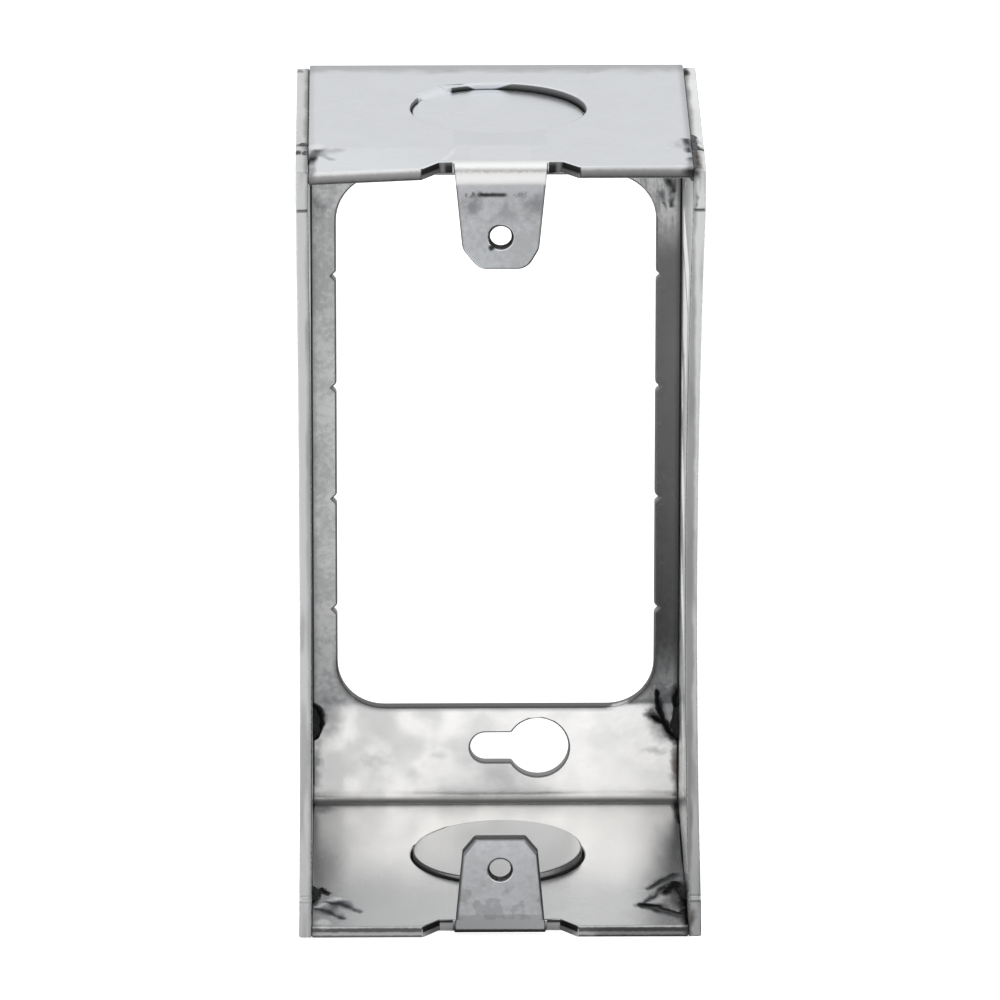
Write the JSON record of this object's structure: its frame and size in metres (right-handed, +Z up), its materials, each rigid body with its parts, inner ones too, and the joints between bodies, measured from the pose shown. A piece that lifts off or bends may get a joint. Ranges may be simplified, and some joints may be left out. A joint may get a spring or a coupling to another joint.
{
  "type": "handy box extension",
  "caption": "Zinc-plated sheet steel handy box extension: a folded channel with bent device ears and a large back opening, closed by welded side plates with round knockouts.",
  "frame": {"origin": "centre of the footprint on the surface that the ring stands on, at the outside of the bottom wall", "axes": "+Z up along the long side, the open front faces -Y and the back with its opening faces +Y, +X to the right seen from the front"},
  "size_m": [0.0508, 0.0476, 0.1016],
  "materials": {
    "zinc_steel": "bright zinc plate, cloudy satin with rolling marks",
    "burnt_weld": "scorched weld metal"
  },
  "bodies": {
    "root": {"channel": "zinc_steel", "left_side": "zinc_steel", "right_side": "zinc_steel", "corner_welds": "burnt_weld"}
  },
  "joints": []
}
